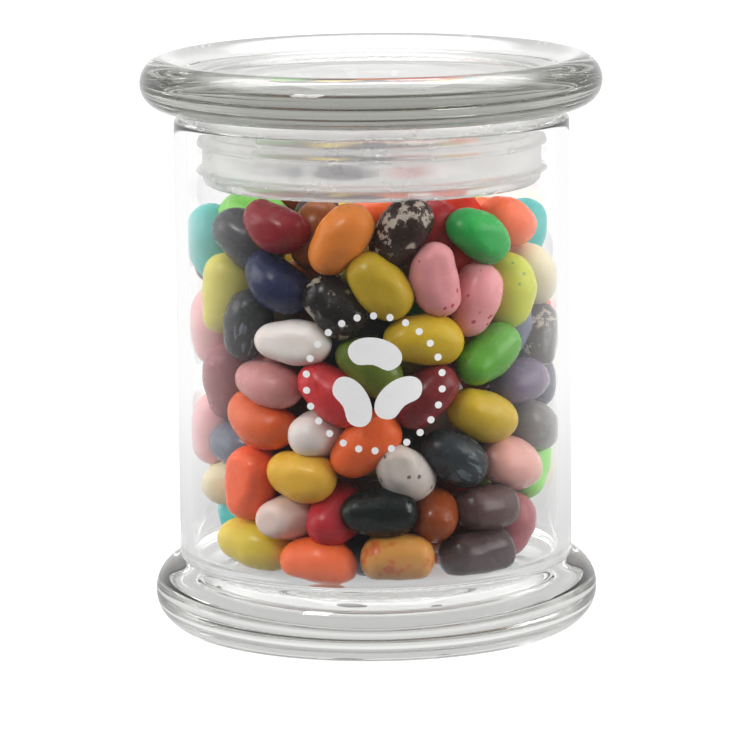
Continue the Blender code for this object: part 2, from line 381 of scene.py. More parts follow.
# A front bean is (kind, shape, across, height, lean, behind, turned): across the jar and above the
# table at the bean's middle, the lean of its long axis, how far it lies behind the ones at the glass,
# and how far its far end turns in towards the middle of the jar.
FRONT_BEANS = (
    ("aqua", "plump", -31, 79, 97, 1, 0),
    ("lime", "plump", -26, 83.5, 5, 8, 0),
    ("charcoal", "plump", -22.6, 80, -48, 2.5, 0),
    ("maroon", "plump", -19, 83.5, -15, 0, 0),
    ("amber", "plump", -12, 82.5, 75, 4, 0),
    ("peach", "plump", -5.5, 82, 60, 0, 0),
    ("tangerine", "plump", 4.5, 85.5, 5, 12, 0),
    ("scarlet", "plump", 13, 85, 10, 9, 0),
    ("chipped_brown", "plump", 5, 83, 65, 1.5, 0),
    ("cherry", "plump", 11, 82.5, 70, 7, 0),
    ("green", "plump", 19.5, 82, -30, 0, 0),
    ("tangerine", "plump", 24.5, 83, -18, 6, 0),
    ("aqua", "round", 30, 78, 70, 12, 0),
    ("indigo", "plump", -19, 84, 5, 50, 0),
    ("indigo", "round", -7, 84, -4, 61, 0),
    ("speckled_pink", "plump", 7, 83.5, 4, 61, 0),
    ("cream", "plump", 31, 70, -55, 1, 0),
    ("lemon", "plump", -26.8, 69, 80, 1.5, 0),
    ("indigo", "kidney", -18.5, 73.5, -32, 0.5, 0),
    ("mustard", "plump", 1.5, 74, -60, 0, 0),
    ("speckled_pink", "kidney", 10.5, 74.5, -80, 0, 0),
    ("speckled_pink", "plump", 19, 69, 68, 1, 0),
    ("lemon_lime", "plump", 25.5, 69, 92, 1.5, 0),
    ("scarlet", "round", 15.5, 77.5, 60, 8, 0),
    ("black", "plump", -24, 64, 75, 0, 0),
    ("crackled_black", "blunt", -7.5, 69, -38, 1, 0),
    ("white", "plump", -15, 61, -4, 0, 0),
    ("blush", "plump", -30.5, 61, 90, 1, 0),
    ("rose", "plump", -29.5, 50.5, 80, 2, 0),
    ("mustard", "plump", 9.5, 62.5, -8, 0, 0),
    ("leaf_green", "plump", 21.5, 57.5, 36, 0, 0),
    ("chipped_brown", "plump", 30.5, 59.5, 60, 1, 0),
    ("blue_grey", "plump", 27, 62, 80, 5, 0),
    ("tutti_pink", "plump", -20.5, 52.5, -15, 0, 0),
    ("coral", "plump", -7.5, 52, -38, 0, 0),
    ("olive", "plump", -1, 57.5, -45, 1, 0),
    ("wine", "plump", 9.5, 51, 45, 0.5, 0),
    ("lavender", "plump", 28, 51.5, 15, 0.5, 0),
    ("mustard", "plump", 20.5, 46, -25, 0, 0),
    ("smoke", "plump", 30.2, 40.5, -35, 1, 0),
    ("blush", "plump", -30, 42, 75, 2, 0),
    ("orange", "kidney", -21.6, 44.5, -18, 0, 0),
    ("white", "plump", -11, 42.5, 0, 2, 75),
    ("orange", "plump", -1.5, 41.5, 38, 0.5, 0),
    ("slate", "plump", 15.6, 38, -30, 0.5, 0),
    ("dotted_salmon", "plump", 25.2, 36, -18, 0.5, 0),
    ("lime", "plump", 30.5, 33.5, 62, 3, 0),
    ("blue_grey", "plump", -26.8, 37.8, -12, 2, 0),
    ("tan", "plump", -30, 36.5, 80, 6, 0),
    ("tomato", "blunt", -23.5, 33, 90, 0, 0),
    ("golden", "plump", -14, 35, -8, 0, 0),
    ("dotted_white", "plump", 5.2, 35.5, -50, 0, 30),
    ("cream", "round", -28.5, 30.3, 0, 3, 60),
    ("bottle_green", "plump", 0, 28.5, 10, 1.5, 0),
    ("cinnamon", "round", 10.2, 27.2, 60, 1, 55),
    ("mauve_brown", "blunt", 20.8, 27.2, 0, 0, 0),
    ("sunny", "plump", -23.4, 21.5, -12, 0, 25),
    ("blush_white", "plump", -17, 26, 0, 1, 60),
    ("crimson", "round", -7.3, 26.6, 80, 1.5, 45),
    ("orange", "plump", -11, 20.2, -5, 0, 0),
    ("blotched_peach", "blunt", 4.5, 20.1, 3, 0, 0),
    ("plum", "blunt", 19.3, 19.3, 8, 0, 0),
    ("aqua", "round", -27, 25, 0, 9, 0),
    ("rose", "round", 26.3, 22.2, 75, 3.5, 0),
)

# How a kind of bean is coloured: shell colour, then what lies on it; the lighter colour of the rubbed streaks
# is a painted highlight. Colours are the usual web colours.
KINDS = {
    "aqua": dict(shell="2cc0bc"),
    "lime": dict(shell="86d458"),
    "charcoal": dict(shell="333338"),
    "maroon": dict(shell="881a22"),
    "amber": dict(shell="a85a12"),
    "peach": dict(shell="e88a38"),
    "tangerine": dict(shell="f86828"),
    "scarlet": dict(shell="e23418"),
    "cherry": dict(shell="b3262a"),
    "chipped_brown": dict(shell="33211c", chips=0.42, chip_colour="b7aa9e"),
    "green": dict(shell="2cb050"),
    "cream": dict(shell="f2e4bc"),
    "lemon": dict(shell="ded23e"),
    "indigo": dict(shell="262b50"),
    "mustard": dict(shell="c9a92a"),
    "speckled_pink": dict(shell="e89ea3", specks=0.5, speck_colour="b02a48"),
    "lemon_lime": dict(shell="cccf2c", specks=0.3, speck_colour="5f8f2d"),
    "black": dict(shell="232427", rub_and_sheens=0.5, scuff_colour="8d97a5"),
    "crackled_black": dict(shell="1f1a19", chips=0.30, chip_colour="9b9286"),
    "white": dict(shell="ece3df"),
    "blush": dict(shell="f0b0b2"),
    "rose": dict(shell="a2525a"),
    "leaf_green": dict(shell="62a836"),
    "smoke": dict(shell="6b6360"),
    "blue_grey": dict(shell="6d7284"),
    "tutti_pink": dict(shell="dd9a98", specks=0.35, speck_colour="c9a23a"),
    "coral": dict(shell="d23a40"),
    "olive": dict(shell="66782a"),
    "wine": dict(shell="7c282c", rub_and_sheens=0.4, scuff_colour="8c5b5a"),
    "lavender": dict(shell="6d5a78"),
    "orange": dict(shell="f06c34"),
    "slate": dict(shell="33393d", rub_and_sheens=0.35, scuff_colour="79838a"),
    "dotted_salmon": dict(shell="e4a89e", specks=0.4, speck_colour="6b6f96"),
    "tan": dict(shell="d8bd7c"),
    "tomato": dict(shell="ff6630"),
    "golden": dict(shell="deb040"),
    "dotted_white": dict(shell="c9bfb9", specks=0.2, speck_colour="4b403d"),
    "bottle_green": dict(shell="121b18"),
    "cinnamon": dict(shell="8a4018"),
    "mauve_brown": dict(shell="5b4542"),
    "blush_white": dict(shell="e6cfc8"),
    "crimson": dict(shell="b22a34"),
    "blotched_peach": dict(shell="dc9c4c", blotches=0.5, blotch_colour="c8561a"),
    "sunny": dict(shell="e6cb3a"),
    "plum": dict(shell="453033"),
}

# a bean's length, width and depth, how far its ends bow, how full its ends are,
# and how much one end is fuller than the other
BEAN_SHAPES = {
    "plump": (15.3, 10.2, 9.7, 0.6, 1.04, 0.05),
    "kidney": (15.9, 9.8, 9.5, 1.7, 1.04, 0.03),
    "blunt": (14.8, 10.2, 9.8, 0.4, 1.22, 0.03),
    "round": (13.4, 10.5, 10.2, 0.3, 1.02, 0.06),
    "pear": (15.2, 10.3, 9.8, 0.5, 1.02, 0.13),
}


def bean_cage(shape):
    """A cube rounded, drawn long, its ends filled or bowed by hand: vertices and faces in millimetres."""
    length, width, depth, bow, fullness, fuller_end = BEAN_SHAPES[shape]
    deselect()
    bpy.ops.mesh.primitive_cube_add(size=width * MM)
    cage = bpy.context.object
    begin_editing(cage)
    bpy.ops.mesh.select_all(action="SELECT")
    bpy.ops.mesh.subdivide(number_cuts=1, smoothness=1.0)
    for side in (-1, 1):
        bpy.ops.mesh.select_all(action="SELECT")
        bpy.ops.mesh.bisect(plane_co=(side * 0.22 * width * MM, 0, 0), plane_no=(1, 0, 0))
    for side in (-1, 1):
        choose(cage, lambda place: side * place.x > 0.3 * width)
        swell = fullness * (1 + side * fuller_end)
        bpy.ops.transform.resize(value=(1, swell, swell), center_override=(0, 0, 0))
        bpy.ops.transform.translate(value=(0, -bow * MM, 0))
        choose(cage, lambda place: 0.1 * width < side * place.x < 0.3 * width)
        swell = 1 + side * fuller_end
        bpy.ops.transform.resize(value=(1, swell, swell), center_override=(0, 0, 0))
    bpy.ops.mesh.select_all(action="DESELECT")
    stop_editing()
    places = np.array([vertex.co for vertex in cage.data.vertices]) / MM
    faces = [tuple(face.vertices) for face in cage.data.polygons]
    smooth(cage, 2)
    final = np.array([vertex.co for vertex in cage.data.vertices]) / MM
    middle = (final.max(0) + final.min(0)) / 2
    wanted = np.array((length, width, depth))
    places = (places - middle) * wanted / (final.max(0) - final.min(0))
    bpy.data.objects.remove(cage)
    return places, faces


def nearest_on_axes(start, along, other_start, other_along):
    """Where two beans' axes come closest, each from -1 to 1 along its half axis."""
    between = start - other_start
    a = (along * along).sum(1)
    e = (other_along * other_along).sum(1)
    b = (along * other_along).sum(1)
    c = (along * between).sum(1)
    f = (other_along * between).sum(1)
    crossing = a * e - b * b
    s = np.where(crossing > 1e-9, (b * f - c * e) / np.maximum(crossing, 1e-9), 0.0)
    t = np.clip((b * np.clip(s, -1, 1) + f) / e, -1, 1)
    s = np.clip((b * t - c) / a, -1, 1)
    return s, t


def pushed_in_by_glass(points, radii):
    """How far the glass, its floor and the heap's ceiling push each round end inwards.

    Low down, the two sides are kept free.
    """
    across = np.hypot(points[:, 0], points[:, 1]) + 1e-9
    height = points[:, 2]
    push = np.zeros_like(points)
    push[:, :2] -= (np.maximum(across + radii - WALL_INNER, 0) / across)[:, None] * points[:, :2]
    side = WALL_INNER - SIDES_NARROW * np.maximum(SIDES_NARROW_BELOW - height, 0)
    push[:, 0] -= np.sign(points[:, 0]) * np.maximum(np.abs(points[:, 0]) + radii - side, 0)
    push[:, 2] += np.maximum(FLOOR_HEIGHT + radii - height, 0)
    push[:, 2] -= np.maximum(height + radii - HEAP_CEILING, 0)
    return push


def settle_beans(random):
    """Places for all the beans: the front ones as listed, the rest pushed until they fit."""
    held_count = len(FRONT_BEANS)
    sizes = 1 + BEAN_SIZE_SPREAD * random.uniform(-1, 1, BEANS)
    places = np.zeros((BEANS, 3))
    axes = random.normal(size=(BEANS, 3))
    for i, (_, _, across, height, lean, behind, turned_in) in enumerate(FRONT_BEANS):
        ring = WALL_INNER - BEAN_RADIUS
        depth = math.sqrt(ring * ring - across * across)
        places[i] = (across, behind - depth, height)
        outwards = np.array((across, -depth, 0.0)) / ring
        sideways = np.array((depth, across, 0.0)) / ring
        lean, turned_in = math.radians(lean), math.radians(turned_in)
        flat = math.cos(lean) * sideways + np.array((0, 0, math.sin(lean)))
        axes[i] = math.cos(turned_in) * flat - math.sin(turned_in) * outwards
    free = BEANS - held_count
    angles = random.uniform(0, 2 * math.pi, free)
    rings = np.sqrt(random.uniform(0, 1, free)) * (WALL_INNER - BEAN_RADIUS)
    lows = random.uniform(FLOOR_HEIGHT + BEAN_RADIUS, HEAP_CEILING - BEAN_RADIUS, free)
    places[held_count:] = np.stack([rings * np.cos(angles), rings * np.sin(angles), lows], 1)
    axes /= np.linalg.norm(axes, axis=1)[:, None]
    wanted_places, wanted_axes = places[:held_count].copy(), axes[:held_count].copy()
    freedom = np.where(np.arange(BEANS) < held_count, GIVE, 1.0)
    for step in range(SETTLING_STEPS):
        grown = min(1.0, START_SIZE + GROWTH * step / SETTLING_STEPS)
        halves, radii = BEAN_HALF * sizes * grown, BEAN_RADIUS * sizes * grown
        if step % 5 == 0:
            apart = np.linalg.norm(places[:, None] - places[None], axis=2)
            near = apart < (halves + radii)[:, None] + (halves + radii)[None] + 1.5
            first, second = np.where(np.triu(near, 1))
        along = axes * halves[:, None]
        s, t = nearest_on_axes(places[first], along[first], places[second], along[second])
        between = places[first] + along[first] * s[:, None] - places[second] - along[second] * t[:, None]
        distance = np.linalg.norm(between, axis=1) + 1e-9
        overlap = np.maximum(radii[first] + radii[second] - distance, 0)
        push = between / distance[:, None] * overlap[:, None]
        share = (freedom[first] / (freedom[first] + freedom[second]))[:, None]
        moved, twisted, touching = np.zeros((BEANS, 3)), np.zeros((BEANS, 3)), np.zeros(BEANS)
        np.add.at(moved, first, push * share)
        np.add.at(moved, second, -push * (1 - share))
        np.add.at(twisted, first, push * share * s[:, None])
        np.add.at(twisted, second, -push * (1 - share) * t[:, None])
        np.add.at(touching, first, overlap > 0)
        np.add.at(touching, second, overlap > 0)
        for end in (-1, 1):
            wall = pushed_in_by_glass(places + end * along, radii)
            moved += wall
            twisted += end * wall
            touching += np.abs(wall).sum(1) > 0
        from_axis = np.hypot(places[:, 0], places[:, 1])
        stray = np.where((places[:, 1] < -0.2 * from_axis), np.maximum(from_axis - FREE_RADIUS, 0), 0)
        stray[:held_count] = 0
        moved[:, :2] -= (stray / (from_axis + 1e-9))[:, None] * places[:, :2] * 0.5
        outside = np.maximum(places[:, 0] - SHOULDERS[1], SHOULDERS[0] - places[:, 0])
        shoulder = HEAP_CEILING - BEAN_RADIUS - np.maximum(outside, 0)
        moved[held_count:, 2] -= 0.5 * np.maximum(places[:, 2] - shoulder, 0)[held_count:]
        ease = EASE / np.sqrt(np.maximum(touching, 1))
        places += moved * ease[:, None]
        sideways = twisted - (twisted * axes).sum(1)[:, None] * axes
        axes += sideways * (ease / np.maximum(halves, 1))[:, None]
        places[:held_count] += HOLD * (wanted_places - places[:held_count])
        axes[:held_count] += 3 * HOLD * wanted_axes
        axes /= np.linalg.norm(axes, axis=1)[:, None]
    return places, axes, sizes


def bean_kinds(places, random):
    """The kind of each bean: the front ones as listed, the rest drawn so that neighbours differ."""
    names = [bean[0] for bean in FRONT_BEANS]
    usual = sorted(set(KINDS) - {"aqua"})
    for i in range(len(FRONT_BEANS), BEANS):
        apart = np.linalg.norm(places[:i] - places[i], axis=1)
        beside = {names[j] for j in np.argsort(apart)[:5]}
        left = [kind for kind in usual if kind not in beside]
        names.append(left[int(random.integers(len(left)))])
    return names


def laid_bean(cage, place, axis, size, random):
    """One bean's own vertices: the cage a little varied, rolled about its axis and laid in place."""
    local = cage * size * (1 + 0.03 * random.normal(size=3))
    local[:, 1] -= 0.006 * random.normal() * local[:, 0] ** 2
    roll = random.uniform(0, 2 * math.pi)
    aside = np.cross(axis, (0.0, 0.0, 1.0)) if abs(axis[2]) < 0.9 else np.cross(axis, (1.0, 0.0, 0.0))
    aside /= np.linalg.norm(aside)
    over = np.cross(axis, aside)
    side = math.cos(roll) * aside + math.sin(roll) * over
    up = np.cross(axis, side)
    return local, local @ np.stack([axis, side, up]) + place


def press_against_glass(piece):
    """Flattens what would reach into the wall of the jar. The floor and the seal flatten nothing."""
    count = len(piece.data.vertices)
    places = np.empty(3 * count, dtype=np.float32)
    piece.data.vertices.foreach_get("co", places)
    places = places.reshape(count, 3)
    across = np.hypot(places[:, 0], places[:, 1])
    limit = (WALL_INNER - GLASS_CLEARANCE) * MM
    places[:, :2] *= np.where(across > limit, limit / np.maximum(across, limit), 1.0)[:, None]
    piece.data.vertices.foreach_set("co", places.ravel())
    piece.data.update()


def make_beans(shell_materials):
    random = np.random.default_rng(SEED)
    places, axes, sizes = settle_beans(random)
    kinds = bean_kinds(places, random)
    cages = {shape: bean_cage(shape) for shape in BEAN_SHAPES}
    usual_shapes = ("plump", "pear", "kidney", "blunt", "round")
    heaps = {kind: dict(places=[], faces=[], local=[], tone=[]) for kind in KINDS}
    for i in range(BEANS):
        across = math.hypot(places[i][0], places[i][1])
        if across < CORE_RADIUS and CORE_HEIGHTS[0] < places[i][2] < CORE_HEIGHTS[1]:
            continue
        if i < len(FRONT_BEANS):
            shape = FRONT_BEANS[i][1]
        else:
            shape = usual_shapes[int(random.integers(len(usual_shapes)))]
        cage, faces = cages[shape]
        local, placed = laid_bean(cage, places[i], axes[i], sizes[i], random)
        heap = heaps[kinds[i]]
        first = sum(len(part) for part in heap["places"])
        heap["places"].append(placed)
        heap["faces"] += [tuple(first + v for v in face) for face in faces]
        heap["local"].append(local + random.uniform(-500, 500, 3))
        heap["tone"].append(np.full(len(local), random.uniform(0, 1)))
    made = []
    for kind, heap in heaps.items():
        if not heap["faces"]:
            continue
        mesh = bpy.data.meshes.new("beans_" + kind)
        mesh.from_pydata((np.concatenate(heap["places"]) * MM).tolist(), [], heap["faces"])
        on_shell = mesh.attributes.new("on_shell", "FLOAT_VECTOR", "POINT")
        on_shell.data.foreach_set("vector", np.concatenate(heap["local"]).astype(np.float32).ravel())
        tone = mesh.attributes.new("tone", "FLOAT", "POINT")
        tone.data.foreach_set("value", np.concatenate(heap["tone"]).astype(np.float32))
        piece = bpy.data.objects.new("beans_" + kind, mesh)
        bpy.context.scene.collection.objects.link(piece)
        paint(piece, shell_materials[kind])
        smooth(piece, 2)
        press_against_glass(piece)
        made.append(piece)
    return made


def make_core():
    """A dark lump in the middle of the heap, under the beans that show."""
    low, high = CORE_HEIGHTS
    middle = (0, 0, (low + high) / 2 * MM)
    deselect()
    bpy.ops.mesh.primitive_ico_sphere_add(subdivisions=4, radius=CORE_RADIUS * MM, location=middle)
    core = bpy.context.object
    core.name = "bean_core"
    bpy.ops.object.transform_apply(location=True)
    begin_editing(core)
    bpy.ops.mesh.select_all(action="SELECT")
    bpy.ops.transform.resize(value=(1, 1, (high - low) / 2 / CORE_RADIUS), center_override=middle)
    stop_editing()
    lumps = bpy.data.textures.new("bean_lumps", "VORONOI")
    lumps.noise_scale = CORE_LUMP * MM
    finish_with(core, "DISPLACE", texture=lumps, strength=-CORE_LUMP_DEPTH * MM, mid_level=0.0)
    core.data.shade_smooth()
    return core


# ---------------------------------------------------------------- printed motif


def drawn_disc(radius, corners):
    """A flat disc of rings, in editing."""
    deselect()
    bpy.ops.mesh.primitive_circle_add(vertices=corners, radius=radius * MM, fill_type="NOTHING")
    disc = bpy.context.object
    begin_editing(disc)
    bpy.ops.mesh.select_all(action="SELECT")
    for size in (0.8, 0.7, 0.5):
        bpy.ops.mesh.extrude_region_move()
        bpy.ops.transform.resize(value=(size, size, size), center_override=(0, 0, 0))
    bpy.ops.mesh.extrude_region_move()
    bpy.ops.mesh.merge(type="CENTER")
    bpy.ops.mesh.select_all(action="SELECT")
    return disc


def drawn_bean(across, up, lean):
    sign = drawn_disc(0.5 * SIGN_LENGTH, 32)
    bpy.ops.transform.resize(value=(1, SIGN_WIDTH / SIGN_LENGTH, 1), center_override=(0, 0, 0))
    choose(sign, lambda p: abs(p.x) < 0.01 and p.y < -0.49 * SIGN_WIDTH)
    bpy.ops.transform.translate(
        value=(0, SIGN_NOTCH * MM, 0),
        use_proportional_edit=True,
        proportional_edit_falloff="SMOOTH",
        proportional_size=0.36 * SIGN_LENGTH * MM,
    )
    bpy.ops.mesh.select_all(action="SELECT")
    bpy.ops.transform.rotate(value=math.radians(lean), orient_axis="Z", center_override=(0, 0, 0))
    bpy.ops.transform.translate(value=(across * MM, up * MM, 0))
    stop_editing()
    return sign


def drawn_dot(turn):
    dot = drawn_disc(DOT_RADIUS, 16)
    bpy.ops.transform.translate(
        value=(PRINT_RADIUS * math.cos(turn) * MM, PRINT_RADIUS * math.sin(turn) * MM, 0)
    )
    stop_editing()
    return dot


def make_print(jar):
    """Three plain beans in a ring of dots, drawn flat, stood up and pressed round the front of the jar."""
    parts = [drawn_bean(*sign) for sign in SIGNS]
    parts += [drawn_dot(2 * math.pi * (i + 0.5) / BORDER_DOTS) for i in range(BORDER_DOTS)]
    deselect()
    for part in parts:
        part.select_set(True)
    bpy.context.view_layer.objects.active = parts[0]
    bpy.ops.object.join()
    motif = bpy.context.object
    motif.name = "front_print"
    motif.rotation_euler = (math.radians(90), 0, 0)
    motif.location = Vector((0, -WALL_RADIUS - 20, PRINT_HEIGHT)) * MM
    bpy.ops.object.transform_apply(location=True, rotation=True)
    finish_with(
        motif,
        "SHRINKWRAP",
        target=jar,
        wrap_method="PROJECT",
        wrap_mode="ABOVE_SURFACE",
        use_project_y=True,
        use_positive_direction=True,
        offset=PRINT_STANDS_PROUD * MM,
    )
    finish_with(motif, "SOLIDIFY", thickness=PRINT_THICKNESS * MM, offset=1.0)
    return motif


# ---------------------------------------------------------------- materials


def linear(web_colour):
    """A web colour such as 'dccb52' as the linear colour that the shaders use."""
    parts = [int(web_colour[i : i + 2], 16) / 255 for i in (0, 2, 4)]
    return (*[p / 12.92 if p <= 0.04045 else ((p + 0.055) / 1.055) ** 2.4 for p in parts], 1.0)


class Nodes:
    """Short calls for adding and joining nodes in one tree."""

    def __init__(self, tree):
        self.tree = tree

    def add(self, kind, inputs=None, **settings):
        node = self.tree.nodes.new(kind)
        for name, value in settings.items():
            setattr(node, name, value)
        for name, value in (inputs or {}).items():
            self.put(value, node.inputs[name])
        return node

    def put(self, value, socket):
        if isinstance(value, bpy.types.NodeSocket):
            self.tree.links.new(value, socket)
        else:
            socket.default_value = value

    def calc(self, operation, *values):
        return self.add("ShaderNodeMath", dict(enumerate(values)), operation=operation).outputs[0]

    def plus(self, one, other):
        return self.calc("ADD", one, other)

    def times(self, one, other):
        return self.calc("MULTIPLY", one, other)

    def rest(self, value):
        """What is left of 1."""
        return self.calc("SUBTRACT", 1.0, value)

    def between(self, amount, one, other):
        return self.add("ShaderNodeMix", {0: amount, 2: one, 3: other}).outputs[0]

    def grey(self, value):
        return self.add("ShaderNodeCombineColor", {0: value, 1: value, 2: value}).outputs[0]

    def blend(self, amount, one, other, how="MIX"):
        node = self.add("ShaderNodeMix", data_type="RGBA", blend_type=how)
        self.put(amount, node.inputs[0])
        self.put(one, node.inputs[6])
        self.put(other, node.inputs[7])
        return node.outputs[2]

    def ramp(self, value, low, high):
        """0 below low, 1 above high."""
        return self.add(
            "ShaderNodeMapRange",
            {"Value": value, "From Min": low, "From Max": high},
            interpolation_type="SMOOTHSTEP",
        ).outputs["Result"]


def new_group(name, inputs, outputs):
    tree = bpy.data.node_groups.new(name, "ShaderNodeTree")
    for socket, kind, value in inputs:
        made = tree.interface.new_socket(socket, in_out="INPUT", socket_type=kind)
        if value is not None:
            made.default_value = value
    for socket, kind in outputs:
        tree.interface.new_socket(socket, in_out="OUTPUT", socket_type=kind)
    nodes = Nodes(tree)
    return tree, nodes, nodes.add("NodeGroupInput").outputs, nodes.add("NodeGroupOutput").inputs


def new_material(name):
    material = bpy.data.materials.new(name)
    material.use_nodes = True
    nodes = Nodes(material.node_tree)
    shader = material.node_tree.nodes["Principled BSDF"]
    output = material.node_tree.nodes["Material Output"]
    return material, nodes, shader, output


def sugar_shell_group():
    """What makes a shell look panned and tumbled: mottling, blotches, specks, chips, rubbed streaks and
    dimples; the streaks' lighter colour is a painted highlight.
    """
    tree, nodes, given, out = new_group(
        "sugar_shell",
        (
            ("Place", "NodeSocketVector", None),
            ("Tone", "NodeSocketFloat", 0.5),
            ("Shell", "NodeSocketColor", (1, 1, 1, 1)),
            ("Blotch Colour", "NodeSocketColor", (1, 1, 1, 1)),
            ("Blotches", "NodeSocketFloat", 0.0),
            ("Speck Colour", "NodeSocketColor", (1, 1, 1, 1)),
            ("Specks", "NodeSocketFloat", 0.0),
            ("Chip Colour", "NodeSocketColor", (1, 1, 1, 1)),
            ("Chips", "NodeSocketFloat", 0.0),
            ("Scuff Colour", "NodeSocketColor", (1, 1, 1, 1)),
            ("Rub_And_Sheens", "NodeSocketFloat", 0.0),
        ),
        (
            ("Color", "NodeSocketColor"),
            ("Roughness", "NodeSocketFloat"),
            ("Height", "NodeSocketFloat"),
        ),
    )
    place = given["Place"]

    def noise(scale, detail=2.0, roughness=0.5):
        return nodes.add(
            "ShaderNodeTexNoise",
            {"Vector": place, "Scale": scale, "Detail": detail, "Roughness": roughness},
        ).outputs["Fac"]

    # the colour of one bean differs a little from the next, and cloudily over each
    brightness = nodes.plus(0.86, nodes.times(given["Tone"], 0.22))
    cloud = nodes.plus(0.93, nodes.times(noise(0.16, 3), 0.14))
    shade = nodes.times(brightness, cloud)
    colour = nodes.blend(1.0, given["Shell"], nodes.grey(shade), "MULTIPLY")

    # broad blotches
    blotch = nodes.ramp(nodes.plus(noise(0.36, 4), nodes.times(given["Blotches"], 0.18)), 0.60, 0.74)
    blotch = nodes.times(blotch, nodes.calc("GREATER_THAN", given["Blotches"], 0.001))
    colour = nodes.blend(nodes.times(blotch, 0.8), colour, given["Blotch Colour"])

    # small round specks, in some cells of a scatter
    cells = nodes.add("ShaderNodeTexVoronoi", {"Vector": place, "Scale": 0.42}, feature="F1")
    ragged = nodes.plus(cells.outputs["Distance"], nodes.times(noise(1.6, 2), 0.16))
    inside = nodes.rest(nodes.ramp(ragged, 0.24, 0.32))
    cell = nodes.add("ShaderNodeSeparateColor", {0: cells.outputs["Color"]}).outputs[0]
    chosen = nodes.calc("LESS_THAN", cell, given["Specks"])
    speck = nodes.times(inside, chosen)
    colour = nodes.blend(nodes.times(speck, 0.8), colour, given["Speck Colour"])

    # chips broken out of the shell, in patches
    flakes = nodes.ramp(noise(0.42, 5, 0.68), 0.52, 0.56)
    patch = nodes.ramp(nodes.plus(noise(0.2, 1), nodes.times(given["Chips"], 0.4)), 0.60, 0.68)
    chip = nodes.times(nodes.times(flakes, patch), nodes.calc("GREATER_THAN", given["Chips"], 0.001))
    colour = nodes.blend(chip, colour, given["Chip Colour"])

    # rubbed streaks: rougher, and lighter in colour as a painted highlight
    stretched = nodes.add("ShaderNodeMapping", {"Vector": place, "Scale": (0.22, 0.9, 0.9)}).outputs[0]
    streaks = {"Vector": stretched, "Scale": 1.0, "Detail": 3.0}
    streak = nodes.add("ShaderNodeTexNoise", streaks).outputs["Fac"]
    rub_and_sheen_patch = nodes.ramp(nodes.plus(noise(0.14, 1), nodes.times(given["Rub_And_Sheens"], 0.25)), 0.62, 0.70)
    rub_and_sheen = nodes.times(nodes.ramp(streak, 0.52, 0.62), rub_and_sheen_patch)
    rub_and_sheen = nodes.times(rub_and_sheen, nodes.calc("GREATER_THAN", given["Rub_And_Sheens"], 0.001))
    colour = nodes.blend(nodes.times(rub_and_sheen, 0.7), colour, given["Scuff Colour"])

    rough = nodes.plus(0.16, nodes.times(noise(0.5, 3), 0.2))
    rough = nodes.plus(rough, nodes.times(nodes.plus(chip, rub_and_sheen), 0.3))
    dimples = nodes.times(noise(0.22, 1), 0.3)
    dimples = nodes.plus(dimples, nodes.times(noise(0.7, 2), 0.07))
    height = nodes.calc("SUBTRACT", dimples, nodes.times(nodes.plus(chip, speck), 0.03))
    nodes.put(colour, out["Color"])
    nodes.put(rough, out["Roughness"])
    nodes.put(height, out["Height"])
    return tree


# marks laid on a shell; the rubbed streaks' lighter colour is a painted highlight
SHELL_MARKS = {"Blotch": "Blotches", "Speck": "Specks", "Chip": "Chips", "Scuff": "Rub_And_Sheens"}


def shell_material(kind, group):
    look = KINDS[kind]
    material, nodes, shader, _ = new_material("shell_" + kind)
    place = nodes.add("ShaderNodeAttribute", attribute_name="on_shell").outputs["Vector"]
    tone = nodes.add("ShaderNodeAttribute", attribute_name="tone").outputs["Fac"]
    shell = nodes.add("ShaderNodeGroup", node_tree=group)
    nodes.put(place, shell.inputs["Place"])
    nodes.put(tone, shell.inputs["Tone"])
    nodes.put(linear(look["shell"]), shell.inputs["Shell"])
    for mark, amount in SHELL_MARKS.items():
        nodes.put(look.get(amount.lower(), 0.0), shell.inputs[amount])
        nodes.put(linear(look.get(mark.lower() + "_colour", "ffffff")), shell.inputs[mark + " Colour"])
    bump = nodes.add("ShaderNodeBump", {"Strength": 0.35, "Distance": MM, "Height": shell.outputs["Height"]})
    nodes.put(shell.outputs["Color"], shader.inputs["Base Color"])
    nodes.put(shell.outputs["Roughness"], shader.inputs["Roughness"])
    nodes.put(bump.outputs[0], shader.inputs["Normal"])
    shader.inputs["Subsurface Weight"].default_value = 0.6
    shader.inputs["Subsurface Radius"].default_value = (1.0, 0.65, 0.45)
    shader.inputs["Subsurface Scale"].default_value = 2.2 * MM
    shader.inputs["Specular IOR Level"].default_value = 0.3
    return material


def core_material():
    material, nodes, shader, _ = new_material("core_shadow")
    place = nodes.add("ShaderNodeTexCoord").outputs["Object"]
    cells = nodes.add("ShaderNodeTexVoronoi", {"Vector": place, "Scale": 110.0})
    ramp = nodes.add("ShaderNodeValToRGB", {0: cells.outputs["Distance"]})
    ramp.color_ramp.elements[0].color = (0.05, 0.02, 0.012, 1)
    ramp.color_ramp.elements[1].color = (0.006, 0.004, 0.004, 1)
    nodes.put(ramp.outputs[0], shader.inputs["Base Color"])
    shader.inputs["Roughness"].default_value = 0.5
    return material


